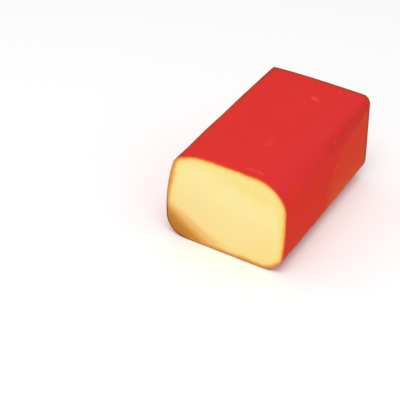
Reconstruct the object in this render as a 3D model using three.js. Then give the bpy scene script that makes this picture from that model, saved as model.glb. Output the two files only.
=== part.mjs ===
// A block of edam cheese: the end piece of a red-waxed loaf, cut square across with a knife.
//
// Millimetres, +Z up. The origin is under the middle of the block, on the surface it stands on.
// The cut face looks towards -Y and the waxed end of the loaf towards +Y.
//
// The body is a loft. Every ring of points is one section of the loaf: a flat base, soft bottom
// edges, sides that lean in as they rise, two shoulders and a slightly crowned top. The shoulders
// are broad at the cut and tight at the loaf's end, where the mould's lid pressed them square.

import * as THREE from 'three';

// Driving dimensions
const LENGTH = 162.5; // from the cut face to the crown of the waxed end
const HEIGHT = 79; // to the crown of the top
const TOP_CROWN = 1.2; // rise of the top across its width
const END_RIM = 1.4; // rounding where the sides turn into the waxed end
const END_CROWN = 1; // rise of the waxed end's face

// The two sides of a pressed cheese are never quite the same. For each side:
// reach    how far it stands from the middle, where its bottom edge meets it
// lean     how much it leans in for every millimetre it rises
// swell    how far it swells out at the cut, halfway up
// atCut    the size of its shoulder at the cut, across and up
// atEnd    the size of its shoulder at the waxed end
const RIGHT = { reach: 51, lean: 0.076, swell: 1.5, atCut: { across: 24.8, up: 21.4 }, atEnd: { across: 6, up: 7 } };
const LEFT = { reach: 50.7, lean: 0.109, swell: 3.1, atCut: { across: 26, up: 10.8 }, atEnd: { across: 2.2, up: 2.5 } };

// Each edge is a quarter of an ellipse, with its size across and up.
const BOTTOM_EDGE = { across: 18.5, up: 18 };
const SHOULDER_EASE = 1.9; // above 1, so the shoulders tighten fastest next to the cut

// How finely the curved surface is divided
const SECTIONS = 18; // along the length
const EDGE_STEPS = 9; // round each bottom edge and shoulder
const SIDE_STEPS = 6; // up each side
const HALF_TOP_STEPS = 5; // from a shoulder to the middle of the top
const RIM_STEPS = 4; // round the end's rim
const END_RINGS = 4; // from the rim to the middle of the waxed end

const HALF_WIDTH = RIGHT.reach;
const HALF_HEIGHT = HEIGHT / 2;
const SHOULDER_TOP = HEIGHT - TOP_CROWN;
const RIM_START = LENGTH - END_CROWN - END_RIM; // distance from the cut to where the rim begins
const QUARTER = Math.PI / 2;

// The edge at a share of the way from one edge's size to another's.
function blendEdges(from, to, share) {
  return {
    across: THREE.MathUtils.lerp(from.across, to.across, share),
    up: THREE.MathUtils.lerp(from.up, to.up, share),
  };
}

// How far a side stands from the middle at a height. The swell fades towards the loaf's end.
function sideReach(side, height, taper) {
  const rise = height - BOTTOM_EDGE.up;
  const share = THREE.MathUtils.clamp(rise / (SHOULDER_TOP - BOTTOM_EDGE.up), 0, 1);
  const swell = 4 * side.swell * (1 - taper) * share * (1 - share);
  return side.reach - side.lean * rise + swell;
}

// Half of a section, from the middle of the base up to the middle of the top.
// taper is 0 at the cut and 1 at the loaf's end.
function halfSection(side, taper) {
  const shoulder = blendEdges(side.atCut, side.atEnd, taper);
  const shoulderStart = SHOULDER_TOP - shoulder.up;
  const points = [new THREE.Vector2(0, 0)];

  for (let i = 0; i <= EDGE_STEPS; i++) {
    const turn = (QUARTER * i) / EDGE_STEPS;
    const reach = side.reach - BOTTOM_EDGE.across * (1 - Math.sin(turn));
    points.push(new THREE.Vector2(reach, BOTTOM_EDGE.up * (1 - Math.cos(turn))));
  }

  for (let i = 1; i < SIDE_STEPS; i++) {
    const height = THREE.MathUtils.lerp(BOTTOM_EDGE.up, shoulderStart, i / SIDE_STEPS);
    points.push(new THREE.Vector2(sideReach(side, height, taper), height));
  }

  for (let i = 0; i <= EDGE_STEPS; i++) {
    const turn = (QUARTER * i) / EDGE_STEPS;
    const level = shoulderStart + shoulder.up * Math.sin(turn);
    const reach = sideReach(side, level, taper) - shoulder.across * (1 - Math.cos(turn));
    const crown = TOP_CROWN * (1 - (reach / HALF_WIDTH) ** 2) * Math.sin(turn);
    points.push(new THREE.Vector2(reach, level + crown));
  }

  const topStart = points[points.length - 1].x;
  for (let i = 1; i <= HALF_TOP_STEPS; i++) {
    const reach = topStart * (1 - i / HALF_TOP_STEPS);
    const crown = TOP_CROWN * (1 - (reach / HALF_WIDTH) ** 2);
    points.push(new THREE.Vector2(reach, SHOULDER_TOP + crown));
  }
  return points;
}

// A whole section, once round from the middle of the base, right side first.
function wholeSection(taper) {
  const right = halfSection(RIGHT, taper);
  const left = halfSection(LEFT, taper).map((point) => new THREE.Vector2(-point.x, point.y));
  return [...right, ...left.reverse().slice(1, -1)];
}

// How far the shoulders have tightened at a share of the length.
function taperAt(share) {
  return 1 - (1 - share) ** SHOULDER_EASE;
}

// A section drawn in towards its middle by an inset, and placed at a distance from the cut.
function ringAt(section, inset, distance) {
  const keepAcross = 1 - inset / HALF_WIDTH;
  const keepUp = 1 - inset / HALF_HEIGHT;
  return section.map((point) => new THREE.Vector3(
    point.x * keepAcross,
    distance - LENGTH / 2,
    HALF_HEIGHT + (point.y - HALF_HEIGHT) * keepUp,
  ));
}

// The rings along the loaf, from the cut to where the rim begins.
function lengthRings() {
  const rings = [];
  for (let i = 0; i <= SECTIONS; i++) {
    const distance = RIM_START * (i / SECTIONS);
    rings.push(ringAt(wholeSection(taperAt(distance / LENGTH)), 0, distance));
  }
  return rings;
}

// The rings that turn a quarter circle in round the waxed end's rim.
function rimRings() {
  const section = wholeSection(taperAt(RIM_START / LENGTH));
  const rings = [];
  for (let i = 1; i <= RIM_STEPS; i++) {
    const turn = (QUARTER * i) / RIM_STEPS;
    const inset = END_RIM * (1 - Math.cos(turn));
    rings.push(ringAt(section, inset, RIM_START + END_RIM * Math.sin(turn)));
  }
  return rings;
}

// The rings that close in over the waxed end, each a smaller copy of the rim's last one.
function endRings(rim) {
  const rings = [];
  for (let i = 1; i < END_RINGS; i++) {
    const size = 1 - i / END_RINGS;
    const crown = END_CROWN * (1 - size ** 2);
    rings.push(rim.map((point) => new THREE.Vector3(
      point.x * size,
      point.y + crown,
      HALF_HEIGHT + (point.z - HALF_HEIGHT) * size,
    )));
  }
  return rings;
}

// A closed body over the rings, shut at both ends by a fan of triangles round a middle point.
function loftRings(rings, firstMiddle, lastMiddle) {
  const count = rings[0].length;
  const points = [...rings.flat(), firstMiddle, lastMiddle];
  const first = rings.length * count;
  const last = first + 1;
  const triangles = [];

  for (let ring = 0; ring < rings.length - 1; ring++) {
    for (let i = 0; i < count; i++) {
      const here = ring * count + i;
      const beside = ring * count + ((i + 1) % count);
      triangles.push(here, beside + count, beside);
      triangles.push(here, here + count, beside + count);
    }
  }

  const lastRing = (rings.length - 1) * count;
  for (let i = 0; i < count; i++) {
    const next = (i + 1) % count;
    triangles.push(first, i, next);
    triangles.push(last, lastRing + next, lastRing + i);
  }

  const geometry = new THREE.BufferGeometry().setFromPoints(points);
  geometry.setIndex(triangles);
  geometry.computeVertexNormals();
  return geometry;
}

function makeCheeseBlock() {
  const sides = [...lengthRings(), ...rimRings()];
  const rings = [...sides, ...endRings(sides[sides.length - 1])];
  const cutMiddle = new THREE.Vector3(0, -LENGTH / 2, HALF_HEIGHT);
  const endMiddle = new THREE.Vector3(0, LENGTH / 2, HALF_HEIGHT);
  const redWax = new THREE.MeshStandardMaterial({ color: 0xdd3430, roughness: 0.45, metalness: 0 });
  const block = new THREE.Mesh(loftRings(rings, cutMiddle, endMiddle), redWax);
  block.name = 'cheese_block';
  return block;
}

const cheese = new THREE.Group();
cheese.add(makeCheeseBlock());

export default cheese;
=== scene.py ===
# %% [markdown]
# # A block of edam in red wax
#
# The subject is the end piece of a loaf-shaped cheese. A knife has gone straight across the loaf, so
# one end is bare cheese and everything else is covered by a thin skin of red wax. The frame gives
# the size and the place of the block. This lesson gives it its two real layers, the wax and the
# cheese, and their finishes.

# %% Load the frame
import math

import bpy
import numpy as np
from mathutils import Matrix, Vector, geometry, noise
from mathutils.kdtree import KDTree


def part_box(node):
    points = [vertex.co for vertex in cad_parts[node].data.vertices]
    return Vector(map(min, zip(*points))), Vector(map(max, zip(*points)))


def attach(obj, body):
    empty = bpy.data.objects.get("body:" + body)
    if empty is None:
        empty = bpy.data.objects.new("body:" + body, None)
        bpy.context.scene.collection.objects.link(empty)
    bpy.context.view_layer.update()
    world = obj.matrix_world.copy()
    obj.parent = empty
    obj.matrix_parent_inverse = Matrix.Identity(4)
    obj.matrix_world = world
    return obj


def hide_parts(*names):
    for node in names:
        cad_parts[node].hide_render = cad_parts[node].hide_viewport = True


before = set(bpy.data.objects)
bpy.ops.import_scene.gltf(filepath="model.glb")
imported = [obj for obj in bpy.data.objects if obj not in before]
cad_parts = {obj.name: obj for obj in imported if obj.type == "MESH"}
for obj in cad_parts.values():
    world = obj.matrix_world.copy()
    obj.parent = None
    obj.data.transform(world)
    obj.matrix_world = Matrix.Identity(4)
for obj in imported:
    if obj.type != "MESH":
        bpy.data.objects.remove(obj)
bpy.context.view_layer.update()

MM = 0.001  # every shape below is worked out in millimetres, and the meshes are in metres
block_low, block_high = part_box("cheese_block")
LENGTH = (block_high.y - block_low.y) / MM
HEIGHT = block_high.z / MM
CUT = -LENGTH / 2  # where the cut face stands along Y
BACK = LENGTH / 2  # where the waxed end stands
print(f"the block is {LENGTH:.1f} mm long and {HEIGHT:.1f} mm high")

# %% [markdown]
# ## Camera, light and floor
#
# The camera comes first, because every later choice is judged through it. The picture was taken
# from the front right, looking down, with a longish lens and a slight roll. A camera is a place and
# three axes, so the axes are worked out from the two angles and then turned by the roll.

# %% Camera
VIEW_AZIMUTH = math.radians(27.41)  # how far round from the front, towards the right
VIEW_ELEVATION = math.radians(35.32)  # how far up
VIEW_ROLL = math.radians(3.77)
VIEW_DISTANCE = 885.5 * MM
VIEW_AIM = Vector((-41.44, -44.24, 11.60)) * MM  # what the middle of the picture looks at
VIEW_LENS = 98.65  # millimetres
VIEW_SENSOR = 36.0  # millimetres wide


def camera_axes(azimuth, elevation, roll):
    """The camera's own right, up and back."""
    back = Vector((
        math.sin(azimuth) * math.cos(elevation),
        -math.cos(azimuth) * math.cos(elevation),
        math.sin(elevation),
    ))
    level = Vector((math.cos(azimuth), math.sin(azimuth), 0.0))
    upright = back.cross(level)
    right = level * math.cos(roll) + upright * math.sin(roll)
    up = upright * math.cos(roll) - level * math.sin(roll)
    return right, up, back


right, up, back = camera_axes(VIEW_AZIMUTH, VIEW_ELEVATION, VIEW_ROLL)
camera = bpy.data.objects.new("camera", bpy.data.cameras.new("camera"))
camera.data.lens = VIEW_LENS
camera.data.sensor_width = VIEW_SENSOR
turned = Matrix((right, up, back)).transposed().to_4x4()
camera.matrix_world = Matrix.Translation(VIEW_AIM + back * VIEW_DISTANCE) @ turned
bpy.context.scene.collection.objects.link(camera)
bpy.context.scene.camera = camera
print("camera at", [round(c, 3) for c in camera.matrix_world.translation])

# %% [markdown]
# The light is soft and comes from nearly everywhere, as in a studio tent. A small lamp would put a
# hard shadow beside the block and a bright spot on the wax. Here a white surround does most of it,
# and one large lamp above the front makes the top the brightest face. The plain view transform is
# used, so that a pale yellow stays yellow and isn't greyed. A white floor catches the soft shadow.

# %% Light
SURROUND_STRENGTH = 0.80
LAMP_POWER = 8.5  # watts
LAMP_SIZE = 0.9  # metres across
LAMP_PLACE = Vector((0.15, -0.60, 1.35))  # metres

world = bpy.data.worlds.new("studio")
world.use_nodes = True
world.node_tree.nodes["Background"].inputs["Color"].default_value = (1.0, 1.0, 1.0, 1.0)
world.node_tree.nodes["Background"].inputs["Strength"].default_value = SURROUND_STRENGTH
bpy.context.scene.world = world

lamp = bpy.data.objects.new("lamp", bpy.data.lights.new("lamp", "AREA"))
lamp.data.shape = "DISK"
lamp.data.size = LAMP_SIZE
lamp.data.energy = LAMP_POWER
lamp.location = LAMP_PLACE
lamp.rotation_euler = (-LAMP_PLACE).to_track_quat("-Z", "Y").to_euler()
bpy.context.scene.collection.objects.link(lamp)
bpy.context.scene.view_settings.view_transform = "Standard"
print("one surround and one lamp,", round(LAMP_PLACE.length, 2), "m away")

# %% Floor
FLOOR_HALF = 4.0  # metres from its middle to each side
FLOOR_WHITE = (0.93, 0.93, 0.93, 1.0)
FLOOR_ROUGHNESS = 0.9

floor_mesh = bpy.data.meshes.new("floor")
corners = [(x * FLOOR_HALF, y * FLOOR_HALF, 0.0) for x, y in ((-1, -1), (1, -1), (1, 1), (-1, 1))]
floor_mesh.from_pydata(corners, [], [(0, 1, 2, 3)])
floor = bpy.data.objects.new("floor", floor_mesh)
bpy.context.scene.collection.objects.link(floor)
floor_paint = bpy.data.materials.new("floor_paint")
floor_paint.use_nodes = True
floor_shader = floor_paint.node_tree.nodes["Principled BSDF"]
floor_shader.inputs["Base Color"].default_value = FLOOR_WHITE
floor_shader.inputs["Roughness"].default_value = FLOOR_ROUGHNESS
floor_mesh.materials.append(floor_paint)
print("floor laid,", 2 * FLOOR_HALF, "m wide")

# %% [markdown]
# ## The loaf's section
#
# The mould gives the loaf nearly the same outline all along: flat below, soft bottom edges, sides
# that lean in and two shoulders. A box with bevels could stand for it, but a bevel has one width
# all round and along. Here each edge is a quarter of an ellipse with its own size, and the
# shoulders change along the loaf: broad at the cut, tight at the waxed end.

# %% Section sizes, in millimetres
TOP_CROWN = 1.2
SHOULDER_TOP = HEIGHT - TOP_CROWN
BOTTOM_EDGE = (18.5, 18.0)  # across and up
SHOULDER_EASE = 1.9  # above 1, so the shoulders tighten fastest next to the cut

# reach: how far a side stands from the middle, where the bottom edge meets it
# lean: how much it leans in for every millimetre it rises
# swell: how far it swells out at the cut, halfway up
# at_cut and at_end: the size of its shoulder, across and up
RIGHT_SIDE = {"reach": 51.0, "lean": 0.076, "swell": 1.5, "at_cut": (24.8, 21.4), "at_end": (6.0, 7.0)}
LEFT_SIDE = {"reach": 50.7, "lean": 0.109, "swell": 3.1, "at_cut": (26.0, 10.8), "at_end": (2.2, 2.5)}
HALF_WIDTH = RIGHT_SIDE["reach"]


def side_reach(side, height, taper):
    """How far a side stands from the middle at a height. The taper is 0 at the cut, 1 at the end."""
    rise = height - BOTTOM_EDGE[1]
    share = np.clip(rise / (SHOULDER_TOP - BOTTOM_EDGE[1]), 0, 1)
    return side["reach"] - side["lean"] * rise + 4 * side["swell"] * (1 - taper) * share * (1 - share)


def crown(reach):
    return TOP_CROWN * (1 - (reach / HALF_WIDTH) ** 2)


print("shoulders", RIGHT_SIDE["at_cut"], "at the cut and", RIGHT_SIDE["at_end"], "at the waxed end")

# %% Half of a section
def half_section(side, taper, steps=60):
    """From the middle of the base, up one side, to the middle of the top."""
    turn = np.linspace(0, math.pi / 2, steps)
    across, up_size = (1 - taper) * np.array(side["at_cut"]) + taper * np.array(side["at_end"])
    start = SHOULDER_TOP - up_size
    bottom = np.column_stack([
        side["reach"] - BOTTOM_EDGE[0] * (1 - np.sin(turn)),
        BOTTOM_EDGE[1] * (1 - np.cos(turn)),
    ])
    levels = np.linspace(BOTTOM_EDGE[1], start, steps)[1:-1]
    straight = np.column_stack([side_reach(side, levels, taper), levels])
    level = start + up_size * np.sin(turn)
    reach = side_reach(side, level, taper) - across * (1 - np.cos(turn))
    bend = np.column_stack([reach, level + crown(reach) * np.sin(turn)])
    top = np.linspace(reach[-1], 0, steps)[1:]
    lid = np.column_stack([top, SHOULDER_TOP + crown(top)])
    return np.vstack([[[0, 0]], bottom, straight, bend, lid])


print("half a section has", len(half_section(RIGHT_SIDE, 0)), "points")

# %% [markdown]
# The sections will be joined point to point, so each needs the same number of points. They could
# keep the points of their curves, but those crowd together in the bends. Spacing them evenly round
# the outline keeps the faces nearly square everywhere, which is what relief and shading like.

# %% Whole sections, evenly spaced
AROUND = 512  # points round a section


def evenly(outline, count):
    """Points at even steps round a closed outline."""
    closed = np.vstack([outline, outline[:1]])
    run = np.concatenate([[0], np.cumsum(np.hypot(*np.diff(closed, axis=0).T))])
    at = np.linspace(0, run[-1], count, endpoint=False)
    return np.column_stack([np.interp(at, run, closed[:, k]) for k in (0, 1)])


def section(taper):
    """Once round from the middle of the base, right side first."""
    right_half = half_section(RIGHT_SIDE, taper)
    left_half = half_section(LEFT_SIDE, taper)[::-1] * (-1, 1)
    return evenly(np.vstack([right_half, left_half[1:-1]]), AROUND)


def taper_at(distance):
    return 1 - (1 - distance / LENGTH) ** SHOULDER_EASE


cut_outline = section(0)
print(f"a section has {AROUND} points, {np.hypot(*(cut_outline[1] - cut_outline[0])):.2f} mm apart")

# %% [markdown]
# ## The wax skin
#
# The real rind is a dip of molten wax about a millimetre thick. It follows the cheese closely, but
# it isn't smooth: it runs thicker and thinner, the cheese under it isn't quite flat, and handling
# leaves shallow dents. One way is to paint all of this as bump, but then the outline stays perfect
# and looks like plastic. Here the unevenness moves the mesh itself, by tenths of a millimetre.

# %% Rows of the wax along the loaf
END_RIM = 1.4  # rounding where the sides turn into the waxed end
END_CROWN = 1.0
RIM_START = LENGTH - END_CROWN - END_RIM
FINE_ROWS = [0.0, 0.2, 0.5, 0.9, 1.4, 2.0, 2.8, 3.8, 5.0]  # close together next to the cut
ROW_STEP = 1.6
RIM_ROWS = 6


def row_distances():
    """How far each row is from the cut, up to where the end's rim begins."""
    count = math.ceil((RIM_START - FINE_ROWS[-1]) / ROW_STEP)
    return np.concatenate([FINE_ROWS, np.linspace(FINE_ROWS[-1], RIM_START, count + 1)[1:]])


def ring(outline, distance, inset=0.0):
    """An outline drawn in towards its middle by an inset, at a distance from the cut."""
    keep = np.array([1 - inset / HALF_WIDTH, 1 - inset / (HEIGHT / 2)])
    middle = np.array([0, HEIGHT / 2])
    flat = middle + (outline - middle) * keep
    return np.column_stack([flat[:, 0], np.full(len(flat), distance + CUT), flat[:, 1]])


distances = row_distances()
rows = [ring(section(taper_at(d)), d) for d in distances]
end_outline = section(taper_at(RIM_START))
for turn in np.linspace(0, math.pi / 2, RIM_ROWS + 1)[1:]:
    rows.append(ring(end_outline, RIM_START + END_RIM * math.sin(turn), END_RIM * (1 - math.cos(turn))))
skin = np.array(rows)
print("wax skin of", skin.shape[0], "rows")

# %% Normals of a grid of rows
def grid_normals(grid):
    """The direction that is straight out of the surface, at each point of the grid."""
    around = np.roll(grid, -1, axis=1) - np.roll(grid, 1, axis=1)
    along = np.gradient(grid, axis=0)
    normals = np.cross(along, around)
    return normals / np.linalg.norm(normals, axis=2, keepdims=True)


skin_normals = grid_normals(skin)
away_from_middle = skin[0] - [0, 0, HEIGHT / 2]
print("the first row faces out:", bool((skin_normals[0] * away_from_middle).sum(axis=1).min() > 0))

# %% [markdown]
# Relief comes from smooth noise read at each point's place, so it is the same every time. Large shapes
# are the cheese's own unevenness, middle ones are the wax running, and the dents are listed one by one.
# Nothing moves on the base, because the block stands on it.

# %% Ripples
def ripple(points, size, shift):
    """Smooth noise from -1 to 1, whose bumps are about that size across."""
    # Any place far off will do, so that no two ripples line up.
    offset = Vector((shift, 2.3 * shift, -1.7 * shift))
    return np.array([noise.noise(Vector(p) / size + offset) for p in points])


def layered(points, ripples, base=0.0):
    """Ripples on top of a base. Each is how strong it is, its size, and its shift in the noise."""
    total = base
    for strength, size, shift in ripples:
        total = total + strength * ripple(points, size, shift)
    return total


def smoothstep(low, high, values):
    """0 up to low and 1 from high, with a soft rise between them."""
    t = np.clip((values - low) / (high - low), 0, 1)
    return t * t * (3 - 2 * t)


print("a ripple starts at", round(float(ripple([(0, 0, 0)], 1, 1.0)[0]), 2))

# %% Relief of the wax, in millimetres
WAX_RIPPLES = [(0.34, 46, 1.0), (0.13, 15, 5.0), (0.035, 5.2, 9.0)]
RELIEF_GROWS = (0.2, 7.0)  # from nothing to full between these heights above the base
DENT_EDGE = 1.25  # a dent is gone at this share of its reach

# Each dent: where it is, how far it reaches along X, Y and Z, and how deep it is.
DENTS = [
    ((10.1, 47.8, 79.0), (4.6, 3.0, 4.0), 0.22),
    ((7.6, -31.0, 79.0), (3.0, 7.0, 3.0), 0.16),
    ((20.5, -74.5, 79.0), (7.5, 2.0, 4.0), 0.14),
    ((47.0, 8.0, 71.0), (4.0, 5.0, 3.5), 0.22),
    ((49.5, 14.2, 46.0), (4.0, 5.0, 4.0), 0.25),
    ((49.0, 52.0, 33.0), (4.0, 9.0, 6.0), 0.30),
    ((-49.5, -22.0, 44.0), (4.0, 7.0, 5.0), 0.35),
    ((-47.0, 41.0, 66.0), (4.0, 4.0, 3.5), 0.25),
    ((-22.0, 80.0, 51.0), (6.0, 4.0, 5.0), 0.26),
    ((27.0, 80.0, 30.0), (4.0, 4.0, 8.0), 0.20),
    ((-24.0, 18.0, 79.0), (9.0, 6.0, 4.0), 0.16),
]


def wax_relief(points):
    relief = layered(points, WAX_RIPPLES)
    for place, reach, depth in DENTS:
        away = np.sqrt((((points - place) / reach) ** 2).sum(axis=1))
        relief -= depth * (1 - smoothstep(0.0, DENT_EDGE, away))
    return relief * smoothstep(*RELIEF_GROWS, points[:, 2])


flat_points = skin.reshape(-1, 3)
flat_normals = skin_normals.reshape(-1, 3)
skin = (flat_points + flat_normals * wax_relief(flat_points)[:, None]).reshape(skin.shape)
print(f"the wax now reaches from {skin[..., 2].min():.2f} to {skin[..., 2].max():.2f} mm in height")

# %% [markdown]
# ## Filling an outline
#
# Both ends are faces with a free outline and relief in the middle. A fan of triangles from one
# middle point would pinch there. A fill by triangles over an even field of points gives small
# regular faces all over, and keeps the outline's own points, so it joins the rows exactly.

# %% A field of points inside an outline
def inside(points, outline):
    """True for each point that a ray to the right shows to be inside the outline."""
    crossings = np.zeros(len(points), int)
    for a, b in zip(outline, np.roll(outline, -1, axis=0)):
        spans = (a[1] > points[:, 1]) != (b[1] > points[:, 1])
        if a[1] != b[1]:
            x = a[0] + (points[:, 1] - a[1]) / (b[1] - a[1]) * (b[0] - a[0])
            crossings += spans & (x > points[:, 0])
    return crossings % 2 == 1


def distance_to(outline, points):
    """How far each point is from the nearest of the outline's points."""
    tree = KDTree(len(outline))
    for i, p in enumerate(outline):
        tree.insert((p[0], p[1], 0), i)
    tree.balance()
    return np.array([tree.find((x, z, 0))[2] for x, z in points])


def field_of_points(outline, spacing, margin):
    """Points in a pattern of even triangles inside an outline, no nearer to it than the margin."""
    low, high = outline.min(axis=0), outline.max(axis=0)
    rise = spacing * math.sqrt(0.75)  # the height of a triangle with even sides
    found = []
    for j, level in enumerate(np.arange(low[1], high[1], rise)):
        shift = spacing / 2 * (j % 2)
        found += [(x, level) for x in np.arange(low[0] + shift, high[0], spacing)]
    found = np.array(found)
    return found[inside(found, outline) & (distance_to(outline, found) > margin)]


HIDDEN_SPACING = 6.0  # millimetres between the points of the faces that never show
HIDDEN_MARGIN = HIDDEN_SPACING / 3
coarse = field_of_points(cut_outline, HIDDEN_SPACING, HIDDEN_MARGIN)
print("a coarse field inside the section has", len(coarse), "points")

# %% Triangles through the field
TRIANGLES_INSIDE = 1  # the number that asks for the triangles inside the outline only
SAME_POINT = 1e-6  # points nearer to each other than this are one


def fill(outline, extra):
    """Triangles through the outline's points and the extra ones, which are numbered after them."""
    places = [Vector(p) for p in np.vstack([outline, extra])]
    edges = [(i, (i + 1) % len(outline)) for i in range(len(outline))]
    filled = geometry.delaunay_2d_cdt(places, edges, [], TRIANGLES_INSIDE, SAME_POINT)
    faces, origin = filled[2], filled[3]
    back_to_ours = [o[0] for o in origin]
    return [tuple(back_to_ours[i] for i in face) for face in faces]


print("and fills with", len(fill(cut_outline, coarse)), "triangles")

# %% [markdown]
# The mesh of the skin is a cup. Its outside runs from the cut along the loaf, round the rim and
# over the waxed end. At the cut it turns in over the wax's own thickness, and its inside runs back,
# so that the wax is a real layer with a visible edge, as the knife leaves it. That edge is ragged:
# wax is brittle and lets go unevenly, so its thickness and how far it stands proud both vary, and
# in a few places a chip has come away.

# %% The wax's edge at the cut
WAX_THICKNESS = 0.95
THICKNESS_RIPPLES = [(0.17, 7.0, 21.0), (0.16, 1.7, 33.0)]
WAX_PROUD = 0.16  # how far the wax stands out in front of the cheese
PROUD_RIPPLES = [(0.12, 9.0, 41.0), (0.10, 1.9, 47.0)]


def along_outline(outline):
    """Each outline point as a place in space, to read noise at."""
    return np.column_stack([outline[:, 0], np.zeros(len(outline)), outline[:, 1]])


edge_places = along_outline(cut_outline)
edge_thickness = layered(edge_places, THICKNESS_RIPPLES, WAX_THICKNESS)
edge_proud = layered(edge_places, PROUD_RIPPLES, WAX_PROUD)
print(f"wax edge {edge_thickness.min():.2f} to {edge_thickness.max():.2f} mm thick")

# %% Chips in the wax's edge
# Each chip: where it is across and up, half its width, and how far back the wax is gone.
CHIPS = [
    (-13.9, 78.7, 1.0, 0.30), (37.0, 72.5, 1.0, 0.35), (49.5, 12.0, 1.3, 0.5),
    (-33.0, 77.6, 1.0, 0.35), (6.0, 0.0, 1.4, 0.5),
]
CHIP_FLOOR = 0.3  # the share of its half width over which a chip is at its deepest
CHIP_FADE = 5.0  # the rows are drawn back over this distance behind the edge


def edge_setback():
    """For each point of the outline, how far the wax's edge is drawn back by chips."""
    setback = np.zeros(AROUND)
    for x, z, half, depth in CHIPS:
        away = np.hypot(cut_outline[:, 0] - x, cut_outline[:, 1] - z)
        setback = np.maximum(setback, depth * (1 - smoothstep(CHIP_FLOOR, 1.0, away / half)))
    return setback


def drawn_back(row_y):
    """Rows near the cut, moved back behind the chips."""
    distance = row_y - CUT
    share = np.clip(1 - distance / CHIP_FADE, 0, 1)
    return row_y + edge_setback() * share ** 2


print(f"{len(CHIPS)} chips, up to {edge_setback().max():.1f} mm deep")

# %% Rows of the cup
INNER_ROWS = 14
INNER_START = 0.4  # the inside of the wax begins this far behind the cut
END_WAX = 1.3  # the wax is a little thicker on the end
CORNER_IN, CORNER_BACK = 0.10, 0.08  # how much the outer corner of the wax's edge is taken off


def inner_grid(thickness, depth):
    """Rows along the inside of the skin, from the cut to a depth short of the waxed end."""
    picks = np.linspace(0, len(distances) - 1, INNER_ROWS).round().astype(int)
    inner = skin[picks] - skin_normals[picks] * thickness[None, :, None]
    inner[:, :, 1] = (distances[picks] * depth / distances[picks[-1]] + CUT)[:, None]
    return inner


def cup_rows():
    """The inside from the far end to the cut, the lip, the corner, and the outside to the rim."""
    outer = skin.copy()
    outer[0, :, 1] -= edge_proud - CORNER_BACK
    corner = outer[0] - skin_normals[0] * CORNER_IN
    corner[:, 1] -= CORNER_BACK
    lip = skin[0] - skin_normals[0] * edge_thickness[:, None]
    lip[:, 1] -= edge_proud
    inner = inner_grid(edge_thickness, LENGTH - END_CROWN - END_WAX)
    rows_in_order = [*inner[:0:-1], inner[0] + (0, INNER_START, 0), lip, corner, *outer]
    for row in rows_in_order:
        row[:, 1] = drawn_back(row[:, 1])
    return rows_in_order


wax_rows = cup_rows()
lip_row = wax_rows[INNER_ROWS]
print("the cup has", len(wax_rows), "rows")

# %% Join rows into a mesh
SHARP_FROM = math.radians(50)  # edges that turn by more than this aren't smoothed over


def quads_between(count, first_row):
    """Faces between one row and the next, for rows of AROUND points."""
    start = first_row * AROUND
    return [
        (start + i, start + AROUND + i, start + AROUND + (i + 1) % AROUND, start + (i + 1) % AROUND)
        for i in range(count)
    ]


def shift_fill(faces, ring_start, extra_start, flip):
    """A fill's faces, with its outline's points found in a row and the rest after all rows."""
    def moved(i):
        return ring_start + i if i < AROUND else extra_start + i - AROUND
    return [tuple(moved(i) for i in (face[::-1] if flip else face)) for face in faces]


def build(name, rows, first_fill, last_fill):
    """A closed piece from rows and the two fills that shut it. A fill is (places, faces)."""
    points = [np.vstack(rows)]
    faces = []
    for r in range(len(rows) - 1):
        faces += quads_between(AROUND, r)
    total = len(rows) * AROUND
    for (extra, triangles), ring_start, flip in (
        (first_fill, 0, False),
        (last_fill, (len(rows) - 1) * AROUND, True),
    ):
        faces += shift_fill(triangles, ring_start, total, flip)
        points.append(extra)
        total += len(extra)
    mesh = bpy.data.meshes.new(name)
    mesh.from_pydata((np.vstack(points) * MM).tolist(), [], faces)
    mesh.validate()
    mesh.polygons.foreach_set("use_smooth", np.ones(len(mesh.polygons), bool))
    mesh.set_sharp_from_angle(angle=SHARP_FROM)
    piece = bpy.data.objects.new(name, mesh)
    bpy.context.scene.collection.objects.link(piece)
    return piece


print("from one row to the next are", len(quads_between(AROUND, 0)), "faces")

# %% [markdown]
# The waxed end is nearly flat. It rises by a millimetre towards its middle, and has the same kind
# of relief as the sides. One face with many corners could shut it, but relief needs points to
# move, so it is filled from a fine field. The inside never shows, so a coarse fill shuts that.

# %% The waxed end and the inside of the cup
END_SPACING = 1.7
END_MARGIN = 0.9
END_RELIEF_GROWS = 4.0  # the end's relief grows to full over this distance from the rim


def polar(points):
    """The angle and the distance of each point from the middle of the section."""
    across, up = (points - (0, HEIGHT / 2)).T
    return np.arctan2(up, across), np.hypot(across, up)


def end_cap(row):
    """Places and faces that shut the last row of the wax with the loaf's end face."""
    outline = row[:, [0, 2]]
    extra = field_of_points(outline, END_SPACING, END_MARGIN)
    outline_angle, outline_away = polar(outline)
    angle, away = polar(extra)
    order = np.argsort(outline_angle)
    reach = np.interp(angle, outline_angle[order], outline_away[order], period=2 * math.pi)
    places = np.column_stack([extra[:, 0], np.full(len(extra), row[:, 1].mean()), extra[:, 1]])
    relief = wax_relief(places) * smoothstep(0, END_RELIEF_GROWS, distance_to(outline, extra))
    places[:, 1] += END_CROWN * (1 - (away / reach) ** 2) + relief
    return places, fill(outline, extra)


def plain_cap(row):
    """Places and faces that shut a row straight across, where it never shows."""
    outline = row[:, [0, 2]]
    extra = field_of_points(outline, HIDDEN_SPACING, HIDDEN_MARGIN)
    places = np.column_stack([extra[:, 0], np.full(len(extra), row[0, 1]), extra[:, 1]])
    return places, fill(outline, extra)


wax = build("wax_rind", wax_rows, plain_cap(wax_rows[0]), end_cap(wax_rows[-1]))
print("wax_rind:", len(wax.data.polygons), "faces")
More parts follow.
